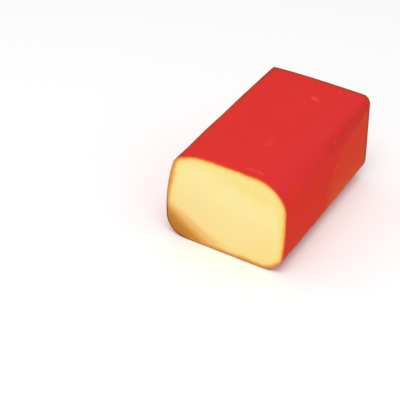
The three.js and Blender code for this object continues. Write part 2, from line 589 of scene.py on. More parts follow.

# %% [markdown]
# The wax is darker round the rim of the waxed end, along the tight left shoulder and at the foot. This
# is painted shade, along edges that turn away from the light and where the block meets the floor. A
# colour pattern can't find an edge that bends along the loaf, so the mesh carries the answer as a value
# at each point, from 0 to 1.

# %% Along the left shoulder's crest
# Each spread is two distances: the painted shade is full up to the first and gone from the second.
CREST_AT_CUT = np.array([-43.6, 71.7])  # the left shoulder's edge at the cut, across and up
CREST_AT_END = np.array([-42.8, 77.6])
CREST_SPREAD_AT_CUT = np.array([2.2, 6.8])
CREST_SPREAD_AT_END = np.array([1.8, 5.9])
CREST_STRENGTH_AT_CUT = 0.75
CREST_GROWS = (0.1, 0.6)  # it grows to full strength between these tapers
UNDER_CREST = 1.7  # below the crest the painted shade thins out this much faster


def toward_crest(places, taper, wander):
    share = taper[:, None]
    crest = CREST_AT_CUT + share * (CREST_AT_END - CREST_AT_CUT)
    full, gone = (CREST_SPREAD_AT_CUT + share * (CREST_SPREAD_AT_END - CREST_SPREAD_AT_CUT)).T
    across, up = (places[:, [0, 2]] - crest).T
    away = np.hypot(across, np.where(up < 0, UNDER_CREST * up, up)) + wander
    strength = CREST_STRENGTH_AT_CUT + (1 - CREST_STRENGTH_AT_CUT) * smoothstep(*CREST_GROWS, taper)
    return (1 - smoothstep(full, gone, away)) * strength


print("the crest climbs from", CREST_AT_CUT[1], "to", CREST_AT_END[1], "mm")

# %% Round the end's rim
RIM_SPREAD = (3.0, 6.8)  # on the sides, before the rim
RIM_SPREAD_INSIDE = (0.5, 2.6)  # on the end's own face
RIM_WIDENS = 0.9  # the rim's painted shade is this much wider on the right
RIM_WIDENS_ACROSS = (0, 40)  # and widens between these places
CLOSE_AROUND = 4 * AROUND  # points of an outline that distances are measured to


def toward_rim(places, wander):
    """On the sides by the distance before the rim, and on the end face by the distance inside it."""
    wider = RIM_WIDENS * smoothstep(*RIM_WIDENS_ACROSS, places[:, 0])
    before = 1 - smoothstep(*RIM_SPREAD, BACK - END_CROWN - places[:, 1] + wander - wider)
    inward = np.zeros(len(places))
    near_end = before > 0
    inward[near_end] = distance_to(evenly(end_outline, CLOSE_AROUND), places[near_end][:, [0, 2]])
    return before * (1 - smoothstep(*RIM_SPREAD_INSIDE, inward + wander))


print(f"at the rim the wax gathers over {RIM_SPREAD[1]} mm")

# %% All the painted edge shade, carried by the mesh
FOOT_SPREAD = (7.6, 11.0)
FOOT_STRENGTH = 0.6
BESIDE_CUT_SPREAD = (0.8, 3.0)
BESIDE_CUT_RISES = (58, 72)  # beside the cut the painted shade is only high up
BESIDE_CUT_STRENGTH = 0.35
EDGE_SHADE_RIPPLES = [(1.6, 13, 81.0), (0.7, 4, 87.0)]  # so that its edge wanders


def gathered_wax(places):
    taper = taper_at(np.clip(places[:, 1] - CUT, 0, LENGTH))
    wander = layered(places, EDGE_SHADE_RIPPLES)
    foot = FOOT_STRENGTH * (1 - smoothstep(*FOOT_SPREAD, places[:, 2] + wander))
    beside_cut = 1 - smoothstep(*BESIDE_CUT_SPREAD, places[:, 1] - CUT)
    beside_cut *= BESIDE_CUT_STRENGTH * smoothstep(*BESIDE_CUT_RISES, places[:, 2])
    crest = toward_crest(places, taper, wander)
    return np.maximum.reduce([crest, toward_rim(places, wander), foot, beside_cut])


def places_of(piece):
    """The points of a piece, in millimetres."""
    return np.array([v.co[:] for v in piece.data.vertices]) / MM


def carry(piece, name, values):
    """Stores a value at each point of a piece, for its material to read."""
    attribute = piece.data.attributes.new(name, "FLOAT", "POINT")
    attribute.data.foreach_set("value", values.astype(np.float32))


gathered = gathered_wax(places_of(wax))
carry(wax, "gathered", gathered)
print(f"wax gathers on {100 * (gathered > 0.5).mean():.0f}% of the points")

# %% [markdown]
# ## The cheese
#
# The cheese fills the cup. Only its cut face shows. A knife pulled down through a semi-hard cheese
# leaves a face that is nearly flat, with faint lines along the blade's path, a few drag marks and
# the small eyes and specks that the blade opened. These are real shape here. The sides of the piece
# reach a little way into the wax, so that no gap shows at the edge.

# %% Eyes and drag marks on the cut face, in millimetres
# Each eye: where it is across and up, its radius and its depth.
EYES = [
    (-12.3, 67.6, 0.7, 0.45), (18.4, 69.4, 1.0, 0.55), (33.1, 65.8, 0.8, 0.5), (30.4, 68.8, 0.55, 0.4),
    (-37.6, 12.6, 0.6, 0.5), (3.5, 43.0, 0.5, 0.3), (-21.0, 55.5, 0.45, 0.3), (39.0, 33.5, 0.5, 0.35),
    (24.5, 15.0, 0.6, 0.35), (-4.0, 21.5, 0.45, 0.3), (-33.0, 38.0, 0.5, 0.3), (11.5, 57.5, 0.4, 0.25),
]
EYE_FLOOR = 0.35  # the share of its radius over which an eye is at its deepest
EYE_LIP = 0.06  # the blade pushes up a low lip round each eye
EYE_LIP_AT, EYE_LIP_WIDTH = 1.2, 0.25  # as shares of the radius

# Each drag mark: its two ends across and up, its half width, and its depth.
DRAGS = [
    ((-44.0, 30.0), (-17.0, 5.0), 2.6, 0.10), ((-38.0, 38.0), (-8.0, 9.0), 1.6, 0.07),
    ((8.0, 31.0), (35.0, 36.5), 0.7, 0.07), ((-30.0, 24.0), (2.0, 3.0), 3.2, 0.09),
    ((-8.0, 62.0), (30.0, 70.0), 1.2, 0.05), ((14.0, 12.0), (44.0, 22.0), 1.8, 0.05),
]


def eye_relief(points):
    depth = np.zeros(len(points))
    for x, z, radius, deep in EYES:
        away = np.hypot(points[:, 0] - x, points[:, 1] - z) / radius
        lip = EYE_LIP * np.exp(-((away - EYE_LIP_AT) / EYE_LIP_WIDTH) ** 2)
        depth += deep * (1 - smoothstep(EYE_FLOOR, 1.0, away)) - lip
    return depth


def drag_relief(points):
    depth = np.zeros(len(points))
    for start, end, half, deep in DRAGS:
        run = np.subtract(end, start)
        t = ((points - start) @ run) / (run @ run)
        across = np.hypot(*(points - (start + np.clip(t, 0, 1)[:, None] * run)).T)
        depth += deep * np.exp(-(across / half) ** 2)
    return depth


print(len(EYES), "eyes and", len(DRAGS), "drag marks")

# %% Relief of the cut face
BLADE_DIRECTION = math.radians(-41)  # the fine lines run down to the right across the face
BLADE_LINES = [(0.022, 1.5, 3.0)]
LINE_STRETCH = 18  # the lines are this much longer than wide
FACE_RIPPLES = [(0.30, 38, 61.0), (0.09, 11, 67.0)]


def cut_relief(points):
    """How far each point of the face lies behind the plane of the cut."""
    turn = np.array([math.cos(BLADE_DIRECTION), math.sin(BLADE_DIRECTION)])
    along, across = points @ turn, points @ np.array([-turn[1], turn[0]])
    lines = layered(np.column_stack([along / LINE_STRETCH, across, np.zeros(len(points))]), BLADE_LINES)
    slow = layered(along_outline(points), FACE_RIPPLES)
    return slow + lines + eye_relief(points) + drag_relief(points)


print(f"the cut face is uneven by {np.ptp(cut_relief(coarse)):.2f} mm")

# %% Extra points round the eyes
EYE_TURNS = 14
EYE_RINGS = (0.35, 0.6, 0.85, 1.05, 1.35)  # as shares of the radius


def eye_points():
    """The middle of each eye and rings round it, so that its wall is round."""
    turns = np.linspace(0, 2 * math.pi, EYE_TURNS, endpoint=False)
    found = [(x, z) for x, z, _, _ in EYES]
    for x, z, radius, _ in EYES:
        for share in EYE_RINGS:
            away = share * radius
            found += [(x + away * math.cos(t), z + away * math.sin(t)) for t in turns]
    return np.array(found)


print("eye points:", len(eye_points()))

# %% Build the cheese
FACE_SPACING = 0.62
FACE_MARGIN = 0.35
EYE_CLEARANCE = 1.5  # the even field keeps away from the eyes by this share of their radius
OVERLAP = 0.25  # how far the cheese reaches into the wax


def cheese_rows():
    inner = inner_grid(edge_thickness - OVERLAP, LENGTH - END_CROWN - END_WAX + OVERLAP)
    inner[0, :, 1] = CUT + cut_relief(inner[0][:, [0, 2]])
    return list(inner)


def cut_face(row):
    """Places and faces that shut the first row of the cheese with the cut face."""
    outline = row[:, [0, 2]]
    field = field_of_points(outline, FACE_SPACING, FACE_MARGIN)
    near_eye = np.zeros(len(field), bool)
    for x, z, radius, _ in EYES:
        near_eye |= np.hypot(field[:, 0] - x, field[:, 1] - z) < EYE_CLEARANCE * radius
    extra = np.vstack([field[~near_eye], eye_points()])
    depth = cut_relief(extra) + CUT
    return np.column_stack([extra[:, 0], depth, extra[:, 1]]), fill(outline, extra)


rows_of_cheese = cheese_rows()
front, end = cut_face(rows_of_cheese[0]), plain_cap(rows_of_cheese[-1])
cheese = build("cheese_paste", rows_of_cheese, front, end)
print("cheese_paste:", len(cheese.data.polygons), "faces")

# %% [markdown]
# The cheese's colour changes with its distance from the rind: under the wax it is drier, deeper
# yellow, almost orange. A material can't measure that distance, so the mesh carries it as a value at
# each point, in millimetres. It is measured to the wax's lip.

# %% Distance from the rind
rind_line = evenly(lip_row[:, [0, 2]], CLOSE_AROUND)
near = distance_to(rind_line, places_of(cheese)[:, [0, 2]])
carry(cheese, "rind_distance", near)
print(f"the middle of the cut is {near.max():.0f} mm from the rind")

# %% [markdown]
# ## Finishes
#
# Photographs could be wrapped round both pieces, but they would have to be unwrapped and would be
# sharp at one size only. A node material is drawn afresh at every place. It is a small network:
# coordinates, patterns read at them, and ramps that turn a pattern into a colour or a roughness. The
# helpers below make the nodes and their links, so that each finish reads as a recipe.

# %% Colours as seen on a screen
def srgb(red, green, blue):
    """A colour as it is seen on a screen, 0 to 255, as the linear colour that the shader takes."""
    parts = [c / 255 for c in (red, green, blue)]
    # This is the standard curve of screens: a short straight foot, then a power.
    return tuple(c / 12.92 if c <= 0.04045 else ((c + 0.055) / 1.055) ** 2.4 for c in parts) + (1.0,)


print("half grey on a screen is", round(srgb(128, 128, 128)[0], 3), "of the light")

# %% A mixture has patterns and colours
class Mixture:
    """A node material under construction."""

    def __init__(self, name):
        self.material = bpy.data.materials.new(name)
        self.material.use_nodes = True
        self.nodes = self.material.node_tree.nodes
        self.links = self.material.node_tree.links
        self.shader = self.nodes["Principled BSDF"]
        self.places = self.nodes.new("ShaderNodeTexCoord").outputs["Object"]

    def put(self, value, socket):
        if isinstance(value, bpy.types.NodeSocket):
            self.links.new(value, socket)
        else:
            socket.default_value = value

    def noise(self, size_mm, detail=3.0, rough=0.5, places=None):
        """A cloudy pattern from 0 to 1, whose largest clouds are about that size."""
        node = self.nodes.new("ShaderNodeTexNoise")
        node.inputs["Scale"].default_value = 1 / (size_mm * MM)
        node.inputs["Detail"].default_value = detail
        node.inputs["Roughness"].default_value = rough
        self.links.new(places or self.places, node.inputs["Vector"])
        return node.outputs["Fac"]

    def ramp(self, factor, stops):
        """Colours along a factor from 0 to 1. A stop is (position, colour)."""
        node = self.nodes.new("ShaderNodeValToRGB")
        self.links.new(factor, node.inputs["Fac"])
        elements = node.color_ramp.elements
        while len(elements) < len(stops):
            elements.new(0.5)
        for element, (position, colour) in zip(elements, stops):
            element.position = position
            element.color = colour
        return node.outputs["Color"]

    def mix(self, factor, a, b, blend="MIX"):
        node = self.nodes.new("ShaderNodeMix")
        node.data_type = "RGBA"
        node.blend_type = blend
        self.put(factor, node.inputs["Factor"])
        self.put(a, node.inputs["A"])
        self.put(b, node.inputs["B"])
        return node.outputs["Result"]


def abilities(kind):
    return ", ".join(name for name in vars(kind) if not name.startswith("_"))


print("a mixture can", abilities(Mixture))

# %% A recipe is a mixture that can also do sums
class Recipe(Mixture):
    """Places, patterns and carried values are worked with here as if they were numbers."""

    def spread(self, value, low, high, to_low=0.0, to_high=1.0):
        """value from low to high becomes to_low to to_high, smoothly, and stays there outside."""
        node = self.nodes.new("ShaderNodeMapRange")
        node.interpolation_type = "SMOOTHSTEP"
        self.put(value, node.inputs["Value"])
        ends = {"From Min": low, "From Max": high, "To Min": to_low, "To Max": to_high}
        for name, number in ends.items():
            node.inputs[name].default_value = number
        return node.outputs["Result"]

    def maths(self, operation, a, b=0.0):
        node = self.nodes.new("ShaderNodeMath")
        node.operation = operation
        self.put(a, node.inputs[0])
        self.put(b, node.inputs[1])
        return node.outputs["Value"]

    def plus(self, a, b):
        return self.maths("ADD", a, b)

    def minus(self, a, b):
        return self.maths("SUBTRACT", a, b)

    def times(self, a, b):
        return self.maths("MULTIPLY", a, b)

    def larger(self, a, b):
        return self.maths("MAXIMUM", a, b)

    def sway(self, pattern, amount):
        """A pattern from 0 to 1 becomes a shift of up to half the amount, to either side."""
        return self.times(self.minus(pattern, 0.5), amount)


print("a recipe can also", abilities(Recipe))

# %% [markdown]
# ### Red wax
#
# Cheese wax is a saturated red and nearly matt here. It is never one red. Painted shade makes it deeper
# along the edges that turn away, on the rim, along the left shoulder and at the foot, and in a band
# below the shoulders. Painted bounce light from the floor turns it orange: a little low on the sides,
# and most in a patch over the half away from the cut. One noise over everything would look like marble.
# So each tone gets its own place, and noise only makes the edges of that place ragged.
#
# A spread in the values below is where it starts, where it ends, and how strong it is at each. One
# with only two numbers goes from nothing to full strength.

# %% Wax tones
WAX_RED = srgb(210, 50, 46)
WAX_DEEP = srgb(204, 45, 44)
WAX_COOLER_RIGHT = srgb(207, 50, 50)
# painted shade in a band below the shoulders
WAX_SHOULDER_SHADE = srgb(194, 48, 37)
WAX_SIDE = srgb(214, 50, 39)
# painted shade along the rim, the left shoulder and the foot
WAX_EDGE_SHADE = srgb(167, 62, 42)
# orange: for small freckles, and for painted bounce light from the floor on the sides
WAX_FRECKLE_AND_BOUNCE = srgb(211, 70, 40)
# painted bounce light, strongest at the foot of the patch
WAX_BOUNCE_LIGHT = srgb(214, 84, 46)
WAX_SCRAPED = srgb(226, 82, 63)
WAX_EDGE = srgb(220, 102, 50)
# orange-brown for the cut edge on the left and below, partly painted shade
WAX_EDGE_BROWN_AND_SHADE = srgb(190, 141, 83)
# painted shadow on the cut edge towards the lower left corner
WAX_EDGE_SHADOW = srgb(140, 82, 44)
print("twelve tones for the wax, its usual red", [round(c, 2) for c in WAX_RED[:3]])

# %% Painted bounce light low on the sides
PATCH_STARTS = (-12 * MM, 9 * MM)  # along the loaf
PATCH_WAVE = 44 * MM  # how far that edge wanders
PATCH_LEANS_FROM = 38 * MM  # above this height the patch starts further back
PATCH_LEAN = 1.8  # by this much for every millimetre up
BOUNCE_ELSEWHERE = (18 * MM, 48 * MM, 0.38, 0.05)  # by height
BOUNCE_IN_PATCH = (22 * MM, 44 * MM, 1.0, 0.68)
BOUNCE_BLOTCHES = (0.36, 0.60, 0.7, 1.0)
STRONGEST_BOUNCE_AT_FOOT = (10 * MM, 32 * MM, 0.95, 0.0)
STRONGEST_BOUNCE_WAVE = 34 * MM  # how far the upper edge of that wanders


def bounce_patch(recipe, y, z):
    """1 in a patch over the half away from the cut, which starts further back the higher it is."""
    above = recipe.larger(recipe.minus(z, PATCH_LEANS_FROM), 0.0)
    wave = recipe.sway(recipe.noise(14, detail=5, rough=0.65), PATCH_WAVE)
    past = recipe.minus(recipe.plus(y, wave), recipe.times(above, PATCH_LEAN))
    return recipe.spread(past, *PATCH_STARTS)


def side_colour(recipe, y, z):
    """Painted bounce light from the floor turns the wax orange: a little of it low down, and most in
    the patch, above all at its foot.
    """
    patch = bounce_patch(recipe, y, z)
    elsewhere = recipe.spread(z, *BOUNCE_ELSEWHERE)
    in_patch = recipe.times(patch, recipe.spread(z, *BOUNCE_IN_PATCH))
    blotches = recipe.spread(recipe.noise(30, rough=0.6), *BOUNCE_BLOTCHES)
    bounce = recipe.times(recipe.larger(elsewhere, in_patch), blotches)
    ragged = recipe.sway(recipe.noise(11, detail=5, rough=0.65), STRONGEST_BOUNCE_WAVE)
    strongest_bounce = recipe.times(patch, recipe.spread(recipe.plus(z, ragged), *STRONGEST_BOUNCE_AT_FOOT))
    return recipe.mix(strongest_bounce, recipe.mix(bounce, WAX_SIDE, WAX_FRECKLE_AND_BOUNCE), WAX_BOUNCE_LIGHT)


print(f"the patch is full from {PATCH_STARTS[1] / MM - CUT:.0f} mm behind the cut")

# %% Painted shade below the shoulders
BAND_FROM = (60 * MM, 70 * MM)  # by height
BAND_TO = (75 * MM, 80 * MM, 1.0, 0.0)
BAND_ALONG = (-18 * MM, 4 * MM, 0.05, 0.62)
BAND_BROKEN = (0.35, 0.6, 0.6, 1.0)


def painted_shoulder_shade(recipe, y, z):
    """Painted shade: a deeper band just below the shoulders, strongest in the half away from the cut.
    """
    above = recipe.spread(z, *BAND_FROM)
    below = recipe.spread(z, *BAND_TO)
    along = recipe.spread(y, *BAND_ALONG)
    broken = recipe.spread(recipe.noise(18), *BAND_BROKEN)
    return recipe.times(recipe.times(recipe.times(above, below), along), broken)


print(f"the band is {(BAND_TO[0] - BAND_FROM[1]) / MM:.0f} mm high at its strongest")

# %% Read a place, and a value that the mesh carries
def split(recipe, places):
    """The X, Y and Z of a place."""
    node = recipe.nodes.new("ShaderNodeSeparateXYZ")
    recipe.links.new(places, node.inputs[0])
    return [node.outputs[axis] for axis in "XYZ"]


def carried(recipe, name):
    """A value that the mesh carries at each point."""
    node = recipe.nodes.new("ShaderNodeAttribute")
    node.attribute_name = name
    return node.outputs["Fac"]


print("the wax carries gathered:", "gathered" in wax.data.attributes)

# %% The wax's colour
WAX_CLOUDS = (0.36, 0.68, 0.0, 0.5)
COOLER_ACROSS = (12 * MM, 38 * MM)  # a cooler, slightly darker red over the right of the top
SIDE_STARTS = (40 * MM, 46 * MM)  # a side is this far out from the middle
SIDE_TOP = (60 * MM, 71 * MM, 1.0, 0.0)  # and below the shoulders
SIDE_WAVE = 26 * MM
END_STARTS = ((BACK - 2.05) * MM, (BACK - 1.05) * MM)  # the waxed end has the sides' tones
EDGE_SHADE_UNEVEN = 1.5  # how ragged the painted edge shade ends
EDGE_SHADE_SHOWS = (0.2, 0.95)  # of the value that the mesh carries
EDGE_SHADE_BESIDE = (0.0, 1.0, 1.0, 0.7)  # it is weaker on the sides
FRECKLES = (0.64, 0.76, 0.0, 0.2)


def wax_colour(recipe):
    x, y, z = split(recipe, recipe.places)
    clouds = recipe.spread(recipe.noise(34, detail=2), *WAX_CLOUDS)
    colour = recipe.mix(clouds, WAX_RED, WAX_DEEP)
    colour = recipe.mix(recipe.spread(x, *COOLER_ACROSS), colour, WAX_COOLER_RIGHT)
    wavy_z = recipe.plus(z, recipe.sway(recipe.noise(20, detail=2), SIDE_WAVE))
    beside = recipe.spread(recipe.maths("ABSOLUTE", x), *SIDE_STARTS)
    on_a_side = recipe.times(beside, recipe.spread(wavy_z, *SIDE_TOP))
    on_a_side = recipe.larger(on_a_side, recipe.spread(y, *END_STARTS))
    colour = recipe.mix(on_a_side, colour, side_colour(recipe, y, z))
    # painted shade in a band below the shoulders
    band = recipe.times(painted_shoulder_shade(recipe, y, wavy_z), beside)
    colour = recipe.mix(band, colour, WAX_SHOULDER_SHADE)
    # painted shade along the edges that turn away and at the foot
    uneven = recipe.sway(recipe.noise(8), EDGE_SHADE_UNEVEN)
    gathered = recipe.plus(carried(recipe, "gathered"), uneven)
    gathered = recipe.times(recipe.spread(gathered, *EDGE_SHADE_SHOWS), carried(recipe, "gathered"))
    gathered = recipe.times(gathered, recipe.spread(beside, *EDGE_SHADE_BESIDE))
    colour = recipe.mix(gathered, colour, WAX_EDGE_SHADE)
    freckles = recipe.spread(recipe.noise(1.6, detail=2), *FRECKLES)
    return recipe.mix(freckles, colour, WAX_FRECKLE_AND_BOUNCE)


print(f"a side's tones end between {SIDE_TOP[0] / MM:.0f} and {SIDE_TOP[1] / MM:.0f} mm up")

# %% [markdown]
# The knife leaves the wax's cut edge lighter than its face. On the left and below, the edge is
# orange-brown instead of red, partly painted shade, and it turns to painted shadow towards the lower
# left corner.
# A second material would need a clean line of faces, and this edge is ragged. So the colour finds
# it by its place: it is the wax in front of the cut, or less than a fifth of a millimetre behind.

# %% The wax's cut edge
BROWNER_LEFT = (-47 * MM, -36 * MM, 1.0, 0.0)
BROWNER_BELOW = (5 * MM, 15 * MM, 1.0, 0.0)
# painted shade on the cut edge, darkest towards the lower left corner
EDGE_SHADOW_DEEPENS = (-30 * MM, -10 * MM, 1.0, 0.0)  # across and up together, so towards the lower left
EDGE_FRONT = ((CUT + 0.08) * MM, (CUT + 0.18) * MM, 1.0, 0.0)


def left_and_bottom(recipe, x, z):
    """1 along the left edge and the bottom edge of the cut."""
    return recipe.larger(recipe.spread(x, *BROWNER_LEFT), recipe.spread(z, *BROWNER_BELOW))


def knife_edge(recipe, colour):
    x, y, z = split(recipe, recipe.places)
    # painted shade, growing towards the lower left corner
    deep = recipe.spread(recipe.plus(x, z), *EDGE_SHADOW_DEEPENS)
    brown_and_shade = recipe.mix(deep, WAX_EDGE_BROWN_AND_SHADE, WAX_EDGE_SHADOW)
    edge = recipe.mix(left_and_bottom(recipe, x, z), WAX_EDGE, brown_and_shade)
    return recipe.mix(recipe.spread(y, *EDGE_FRONT), colour, edge)


print("the cut edge runs along the left and the bottom in", [round(c, 2) for c in WAX_EDGE_BROWN_AND_SHADE[:3]])

# %% [markdown]
# Handling has scuffed the wax in a few places, and there it is paler and rougher. Scratches scattered
# at random would cover the block evenly, which no handling does. So each scrape is listed one by one,
# as a spot with a ragged edge.

# %% Spots with an uneven edge
SPOT_RAGGED = 1.1
SPOT_EDGE = (0.6, 1.15, 1.0, 0.0)  # as shares of its reach


def spot(recipe, place_mm, reach_mm, edge_noise, strength, turn=(0, 0, 0)):
    """As strong as told in the middle of a spot and 0 outside it, with an uneven edge."""
    node = recipe.nodes.new("ShaderNodeMapping")
    node.vector_type = "TEXTURE"
    node.inputs["Location"].default_value = tuple(p * MM for p in place_mm)
    node.inputs["Rotation"].default_value = tuple(math.radians(t) for t in turn)
    node.inputs["Scale"].default_value = tuple(r * MM for r in reach_mm)
    recipe.links.new(recipe.places, node.inputs["Vector"])
    length = recipe.nodes.new("ShaderNodeVectorMath")
    length.operation = "LENGTH"
    recipe.links.new(node.outputs["Vector"], length.inputs[0])
    away = recipe.plus(length.outputs["Value"], recipe.sway(edge_noise, SPOT_RAGGED))
    return recipe.times(recipe.spread(away, *SPOT_EDGE), strength)


def strongest(recipe, spots):
    """The strongest of several spots at each place."""
    most = spots[0]
    for other in spots[1:]:
        most = recipe.larger(most, other)
    return most


print(f"a spot fades from {SPOT_EDGE[0]} to {SPOT_EDGE[1]} times its reach")

# %% Wax scrapes
# Each scrape: its place in millimetres, its reach along X, Y and Z, its turn in degrees, its strength.
SCRAPES = [
    ((10.4, 47.8, 79), (4.6, 2.6, 6), -20, 0.60),
    ((8.6, -36.0, 79), (2.8, 3.6, 6), -10, 0.22),
    ((7.8, -28.5, 79), (2.6, 5.5, 6), -6, 0.12),
    ((15.5, -73.2, 79), (7.5, 2.6, 6), 0, 0.26),
    ((22.6, -73.8, 79), (2.2, 1.5, 6), 0, 0.50),
    ((49.5, 14.0, 46), (6, 3.5, 3.0), 0, 0.30),
    ((47.0, 8.0, 71), (6, 2.0, 2.4), 0, 0.25),
    ((22.5, 71.0, 79), (1.6, 1.4, 6), 0, 0.35),
    ((-49.5, 30.0, 40), (6, 5.0, 2.0), 0, 0.30),
    ((-20.0, 80.5, 24), (6.0, 6, 1.5), 0, 0.35),
]


def wax_scrapes(recipe):
    edge = recipe.noise(1.6, detail=4, rough=0.6)
    return strongest(recipe, [
        spot(recipe, place, reach, edge, strength, (0, 0, turn))
        for place, reach, turn, strength in SCRAPES
    ])


print(len(SCRAPES), "scrapes on the wax")

# %% [markdown]
# The last step joins the colours to the shader. Wax lets a little light in, most of it red. Its
# reflection is set very low, because the block stands on a white floor under a white surround, and
# at the usual strength both would lie over the red as a pink veil.

# %% Bump and soft light
BUMP_STRENGTH = 1.0  # full, so that only the height decides


def bump(recipe, pattern, height_mm, after=None):
    """Shading as if the pattern stood out by that height, on top of an earlier bump."""
    node = recipe.nodes.new("ShaderNodeBump")
    node.inputs["Strength"].default_value = BUMP_STRENGTH
    node.inputs["Distance"].default_value = height_mm * MM
    recipe.links.new(pattern, node.inputs["Height"])
    if after is not None:
        recipe.links.new(after, node.inputs["Normal"])
    return node.outputs["Normal"]


def let_light_in(recipe, share, travels, depth_mm):
    """A share of the light goes in and comes out nearby. Red, green and blue travel differently."""
    recipe.shader.inputs["Subsurface Weight"].default_value = share
    recipe.shader.inputs["Subsurface Radius"].default_value = travels
    recipe.shader.inputs["Subsurface Scale"].default_value = depth_mm * MM


print("bumps are shaded at strength", BUMP_STRENGTH)

# %% Wax finish
WAX_ROUGHNESS = (0.3, 0.7, 0.44, 0.58)
SCRAPED_ROUGHER = 0.2
WAX_DIMPLES = 0.10  # how high the dimples look, in millimetres
WAX_GRAIN = 0.018
WAX_SPECULAR = 0.005
WAX_LETS_IN = 0.08
WAX_RED_GREEN_BLUE = (1.0, 0.15, 0.08)  # how far each colour of light travels, for the depth below
WAX_DEPTH = 1.5  # millimetres


def make_wax():
    recipe = Recipe("red_wax")
    scraped = wax_scrapes(recipe)
    colour = recipe.mix(scraped, wax_colour(recipe), WAX_SCRAPED)
    recipe.put(knife_edge(recipe, colour), recipe.shader.inputs["Base Color"])
    rough = recipe.spread(recipe.noise(9, detail=4, rough=0.6), *WAX_ROUGHNESS)
    rough = recipe.plus(rough, recipe.times(scraped, SCRAPED_ROUGHER))
    recipe.put(rough, recipe.shader.inputs["Roughness"])
    skin_bump = bump(recipe, recipe.noise(4.5), WAX_DIMPLES)
    fine_bump = bump(recipe, recipe.noise(0.8, rough=0.6), WAX_GRAIN, skin_bump)
    recipe.put(fine_bump, recipe.shader.inputs["Normal"])
    recipe.shader.inputs["Specular IOR Level"].default_value = WAX_SPECULAR
    let_light_in(recipe, WAX_LETS_IN, WAX_RED_GREEN_BLUE, WAX_DEPTH)
    return recipe.material


wax.data.materials.append(make_wax())
print("wax_rind has", wax.data.materials[0].name)

# %% [markdown]
# ### Cut cheese
#
# Young edam is pale yellow with a warm cast, slightly moist and waxy, and it lets a little light in.
# Under the rind it is drier and deeper in colour: orange where the wax sat, then a clear yellow, then
# the pale middle. Along the left and the bottom it is browner, partly painted shade. In the lower left
# corner a darker, browner tone reaches a long way in, in soft streaks: partly painted shadow, partly a
# deeper cheese colour.
# Broad clouds keep the middle from being one tone.

# %% Cheese tones
PASTE_PALE = srgb(244, 226, 154)
PASTE_WARM = srgb(243, 218, 146)
PASTE_YELLOW = srgb(241, 215, 122)
PASTE_UNDER_RIND = srgb(246, 186, 96)
PASTE_STAINED = srgb(241, 142, 60)
# darker orange for the left and the bottom, partly painted shade
PASTE_DARKER_ORANGE = srgb(234, 166, 78)
# brown for the left, the bottom and the lower left corner, partly painted shade
PASTE_BROWN_AND_SHADE = srgb(220, 145, 69)
# pale: for specks all over, and for painted highlights on the eyes' rims
PASTE_SPECK_AND_HIGHLIGHT = srgb(248, 238, 190)
print("eight tones for the cheese, the palest of its middle", [round(c, 2) for c in PASTE_PALE[:3]])

# %% From the rind inwards
# Each stop is a share of the way that the tones reach in, and its tone.
BRIGHT_STOPS = [
    (0.0, PASTE_STAINED), (0.08, PASTE_UNDER_RIND), (0.22, PASTE_YELLOW), (0.70, PASTE_PALE),
]
# the left and the bottom are browner, partly painted shade
BROWN_STOPS = [
    (0.0, PASTE_BROWN_AND_SHADE), (0.10, PASTE_DARKER_ORANGE), (0.30, PASTE_YELLOW), (0.70, PASTE_WARM),
]
RIND_WOBBLE = 2.0  # millimetres
RIND_TILT = 0.35  # low on the left counts as lower than low on the right
RIND_REACH = (0.0, 20 * MM, 15.5, 12.5)  # by height, and the reach in millimetres


def tilted_height(recipe, x, z, tilt):
    return recipe.plus(z, recipe.times(x, tilt))


def from_the_rind(recipe, x, z):
    """The tones under the rind. They reach further in low down, above all on the left."""
    brown_sides = left_and_bottom(recipe, x, z)
    wobble = recipe.sway(recipe.noise(5), RIND_WOBBLE)
    inward = recipe.plus(carried(recipe, "rind_distance"), wobble)
    reach = recipe.spread(tilted_height(recipe, x, z, RIND_TILT), *RIND_REACH)
    share = recipe.maths("DIVIDE", inward, reach)
    bright = recipe.ramp(share, BRIGHT_STOPS)
    brown = recipe.ramp(share, BROWN_STOPS)
    return share, recipe.mix(brown_sides, bright, brown)


print(f"the rind's tones reach {RIND_REACH[3]} to {RIND_REACH[2]} mm in")

# %% Clouds in the middle
CLOUD_TILT = 0.3
CLOUD_RISE = 30 * MM  # how far the noise lifts a cloud
CLOUD_HEIGHTS = (30 * MM, 75 * MM, 1.0, 0.0)
RIPE_UPPER = (55 * MM, 76 * MM, 0.0, 0.75)
RIPE_RIGHT = (5 * MM, 45 * MM)
RIPE_LOWER = (15 * MM, 50 * MM, 0.5, 0.0)
RIPE_CLOUDS = (0.35, 0.62, 0.7, 1.1)
MIDDLE_STARTS = (0.22, 0.90)  # as shares of the reach from the rind


def ripe_cheese(recipe, x, z):
    """Two zones are yellower than the rest: a band under the top, and the lower right."""
    upper = recipe.spread(tilted_height(recipe, x, z, CLOUD_TILT), *RIPE_UPPER)
    lower = recipe.times(recipe.spread(x, *RIPE_RIGHT), recipe.spread(z, *RIPE_LOWER))
    cloudy = recipe.spread(recipe.noise(13, rough=0.6), *RIPE_CLOUDS)
    return recipe.times(recipe.larger(upper, lower), cloudy)


def paste_colour(recipe):
    """The share of the way in from the rind, and the colour of the face without the dark corner."""
    x, _, z = split(recipe, recipe.places)
    height = recipe.plus(z, recipe.times(recipe.noise(26), CLOUD_RISE))
    height = tilted_height(recipe, x, height, CLOUD_TILT)
    clouds = recipe.mix(recipe.spread(height, *CLOUD_HEIGHTS), PASTE_PALE, PASTE_WARM)
    clouds = recipe.mix(ripe_cheese(recipe, x, z), clouds, PASTE_YELLOW)
    share, to_rind = from_the_rind(recipe, x, z)
    return share, recipe.mix(recipe.spread(share, *MIDDLE_STARTS), to_rind, clouds)


print(f"the clouds turn warm below {CLOUD_HEIGHTS[1] / MM:.0f} mm")

